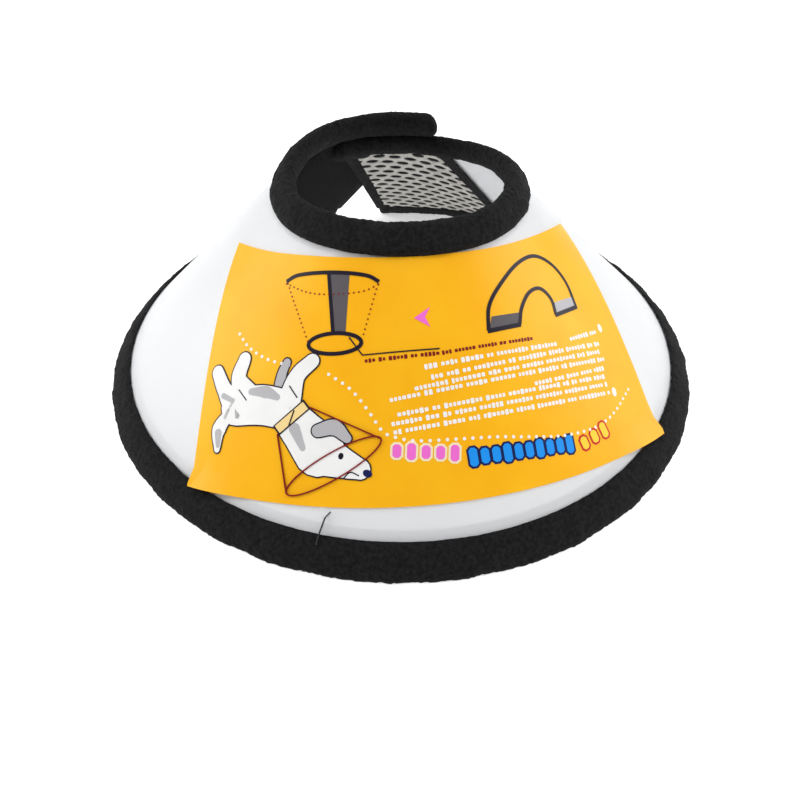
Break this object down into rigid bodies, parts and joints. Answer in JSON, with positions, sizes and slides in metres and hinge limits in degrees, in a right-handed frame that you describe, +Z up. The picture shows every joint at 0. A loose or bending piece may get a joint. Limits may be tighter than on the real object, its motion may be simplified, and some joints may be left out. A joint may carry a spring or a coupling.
{
  "type": "elizabethan collar",
  "caption": "Rolled translucent plastic pet recovery cone with fleece-bound neck and rim, a printed card and a hook-and-loop overlap at the back.",
  "frame": {"origin": "on the table plane, under the middle of the closed collar's bounding box", "axes": "+Z up along the cone's axis from the wide rim to the neck, -Y towards the front with the card, +Y towards the overlap at the back"},
  "size_m": [0.2292, 0.2242, 0.0748],
  "materials": {
    "sheet_plastic": "frosted translucent",
    "fleece_binding": "brushed fleece",
    "loop_tape": "ribbed loop pile",
    "hook_tape": "moulded hooks",
    "mesh_facing": "knitted mesh",
    "printed_card": "printed satin"
  },
  "bodies": {
    "front": {"front_sheet": "sheet_plastic", "front_neck_binding": "fleece_binding", "front_rim_binding": "fleece_binding", "printed_card": "printed_card"},
    "left_side": {"left_side_sheet": "sheet_plastic", "left_side_neck_binding": "fleece_binding", "left_side_rim_binding": "fleece_binding"},
    "outer_flap": {"outer_flap_sheet": "sheet_plastic", "outer_flap_neck_binding": "fleece_binding", "outer_flap_rim_binding": "fleece_binding", "outer_flap_end_binding": "fleece_binding", "loop_tape": "loop_tape"},
    "right_side": {"right_side_sheet": "sheet_plastic", "right_side_neck_binding": "fleece_binding", "right_side_rim_binding": "fleece_binding"},
    "inner_flap": {"inner_flap_sheet": "sheet_plastic", "inner_flap_neck_binding": "fleece_binding", "inner_flap_rim_binding": "fleece_binding", "inner_flap_end_binding": "fleece_binding", "hook_tape": "hook_tape", "mesh_facing": "mesh_facing", "mesh_side_border": "fleece_binding"}
  },
  "joints": [
    {"name": "right_side_bend", "type": "hinge", "parent": "front", "child": "right_side", "pos_m": [0.03985, 0.00202, 0.06524], "axis": [0.761, -0.0066, -0.6487], "range_deg": [0, 44]},
    {"name": "left_side_bend", "type": "hinge", "parent": "front", "child": "left_side", "pos_m": [-0.03887, -0.01027, 0.06634], "axis": [0.7136, 0.2319, 0.6611], "range_deg": [0, 44]},
    {"name": "inner_flap_bend", "type": "hinge", "parent": "right_side", "child": "inner_flap", "pos_m": [0.02822, 0.03056, 0.06363], "axis": [0.5367, 0.5367, -0.651], "range_deg": [0, 24]},
    {"name": "flap_peel", "type": "hinge", "parent": "left_side", "child": "outer_flap", "pos_m": [-0.02924, 0.02286, 0.07158], "axis": [0.6118, -0.4284, 0.6649], "range_deg": [0, 60]}
  ],
  "couplings": [
    {"joint": "left_side_bend", "follows": "right_side_bend", "ratio": 1},
    {"joint": "inner_flap_bend", "follows": "flap_peel", "ratio": 0.4}
  ]
}
